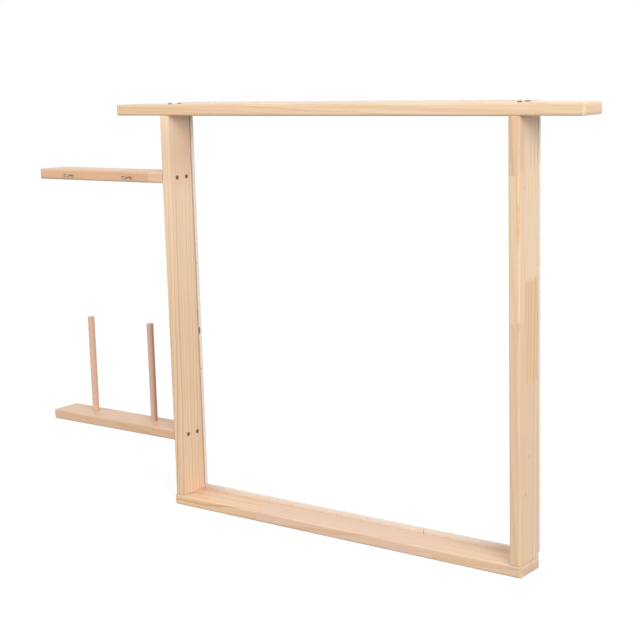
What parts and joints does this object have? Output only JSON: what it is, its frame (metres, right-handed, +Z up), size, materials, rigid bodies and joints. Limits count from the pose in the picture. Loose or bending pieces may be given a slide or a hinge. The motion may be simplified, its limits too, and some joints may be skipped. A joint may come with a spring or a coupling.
{
  "type": "tufting frame",
  "caption": "Upright open rectangle of pine boards with tack strips behind it to stretch cloth on, and a side rack with two yarn pegs below an arm with two screw eyes.",
  "frame": {"origin": "middle of the underside of the bottom rail, where the frame stands", "axes": "+X along the rails towards the side without the yarn rack, +Y from the front to the back where the tack strips are, +Z up"},
  "size_m": [1.1755, 0.0938, 0.7531],
  "materials": {
    "pine": "planed, unvarnished",
    "peg_wood": "sanded dowel, unvarnished",
    "plywood": "sawn",
    "zinc_wire": "zinc plated",
    "pin_steel": "bright",
    "bronzed_steel": "bronzed"
  },
  "bodies": {
    "frame": {"bottom_rail": "pine", "top_rail": "pine", "left_post": "pine", "right_post": "pine", "guide_arm": "pine", "yarn_shelf": "pine", "top_tack_strip": "plywood", "bottom_tack_strip_long": "plywood", "bottom_tack_strip_short": "plywood", "left_tack_strip": "plywood", "right_tack_strip": "plywood", "top_strip_pins": "pin_steel", "bottom_long_pins": "pin_steel", "bottom_short_pins": "pin_steel", "left_strip_pins": "pin_steel", "right_strip_pins": "pin_steel", "strip_nails": "pin_steel", "top_left_screws": "bronzed_steel", "top_right_screws": "bronzed_steel", "bottom_left_screws": "bronzed_steel", "bottom_right_screws": "bronzed_steel", "guide_arm_screws": "bronzed_steel", "yarn_shelf_screws": "bronzed_steel"},
    "yarn_peg_inner": {"yarn_peg_inner": "peg_wood"},
    "yarn_peg_outer": {"yarn_peg_outer": "peg_wood"},
    "screw_eye_inner": {"screw_eye_inner": "zinc_wire"},
    "screw_eye_outer": {"screw_eye_outer": "zinc_wire"}
  },
  "joints": [
    {"name": "yarn_peg_inner_lift", "type": "slide", "parent": "frame", "child": "yarn_peg_inner", "axis": [0, 0, 1], "range_m": [0, 0.015]},
    {"name": "yarn_peg_outer_lift", "type": "slide", "parent": "frame", "child": "yarn_peg_outer", "axis": [0, 0, 1], "range_m": [0, 0.015]},
    {"name": "screw_eye_inner_turn", "type": "hinge", "parent": "frame", "child": "screw_eye_inner", "pos_m": [-0.452, -0.03, 0.617], "axis": [0, 1, 0], "range_deg": [-180, 180]},
    {"name": "screw_eye_outer_turn", "type": "hinge", "parent": "frame", "child": "screw_eye_outer", "pos_m": [-0.607, -0.03, 0.617], "axis": [0, 1, 0], "range_deg": [-180, 180]}
  ]
}
